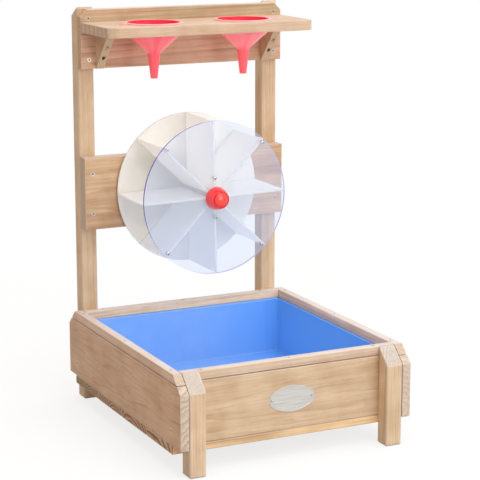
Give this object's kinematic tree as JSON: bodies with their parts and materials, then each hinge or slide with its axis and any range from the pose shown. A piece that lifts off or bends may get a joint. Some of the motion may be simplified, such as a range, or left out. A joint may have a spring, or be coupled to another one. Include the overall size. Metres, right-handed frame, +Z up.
{
  "type": "water table",
  "caption": "Free-standing timber play table with a clamped water tray, a shelf of lift-out funnels and a free-turning paddle wheel below them.",
  "frame": {"origin": "on the ground under the middle of the four feet", "axes": "+Z up, +X to the right and +Y to the back as seen by someone who stands in front of the tray"},
  "size_m": [0.544, 0.644, 0.921],
  "materials": {
    "timber": "planed and oiled softwood",
    "pale_timber": "planed and oiled softwood, paler boards",
    "slat_timber": "sawn and planed softwood",
    "tray_plastic": "glossy moulded polyethylene",
    "funnel_plastic": "translucent moulded polypropylene",
    "opal_sheet": "opal acrylic sheet with polished faces and sawn edges",
    "clear_sheet": "clear acrylic sheet with a lilac tint at the edge",
    "steel": "zinc-plated",
    "nylon": "turned nylon",
    "knob_plastic": "glossy moulded plastic"
  },
  "bodies": {
    "frame": {"front_leg_left": "timber", "front_leg_right": "timber", "rear_post_left": "timber", "rear_post_right": "timber", "side_board_left": "timber", "side_board_right": "timber", "front_board": "timber", "rear_board": "timber", "wheel_board": "timber", "top_board": "timber", "bracket_left": "timber", "bracket_right": "timber", "side_rim_left": "pale_timber", "side_rim_right": "pale_timber", "front_rim": "pale_timber", "rear_rim": "pale_timber", "shelf": "pale_timber", "floor_slat_1": "slat_timber", "floor_slat_2": "slat_timber", "floor_slat_3": "slat_timber", "floor_slat_4": "slat_timber", "tray": "tray_plastic", "axle_bolt": "steel", "axle_sleeve": "steel", "axle_spacer": "nylon", "axle_washers": "steel", "knob": "knob_plastic", "wheel_board_screws": "steel", "top_board_screws": "steel", "side_screws": "steel", "leg_screws": "steel", "shelf_screws": "steel", "bracket_screws": "steel", "slat_screws": "steel", "rim_nails": "steel"},
    "wheel": {"wheel_back_disc": "opal_sheet", "wheel_front_disc": "clear_sheet", "wheel_hub": "nylon", "wheel_vane_1": "opal_sheet", "wheel_vane_2": "opal_sheet", "wheel_vane_3": "opal_sheet", "wheel_vane_4": "opal_sheet", "wheel_vane_5": "opal_sheet", "wheel_vane_6": "opal_sheet", "wheel_vane_7": "opal_sheet", "wheel_vane_8": "opal_sheet", "wheel_cover_screws": "steel"},
    "left_funnel": {"funnel_left": "funnel_plastic"},
    "right_funnel": {"funnel_right": "funnel_plastic"}
  },
  "joints": [
    {"name": "wheel_spin", "type": "hinge", "parent": "frame", "child": "wheel", "pos_m": [0, 0.168, 0.497], "axis": [0, -1, 0], "continuous": true},
    {"name": "left_funnel_lift", "type": "slide", "parent": "frame", "child": "left_funnel", "axis": [0, 0, 1], "range_m": [0, 0.13]},
    {"name": "right_funnel_lift", "type": "slide", "parent": "frame", "child": "right_funnel", "axis": [0, 0, 1], "range_m": [0, 0.13]}
  ]
}
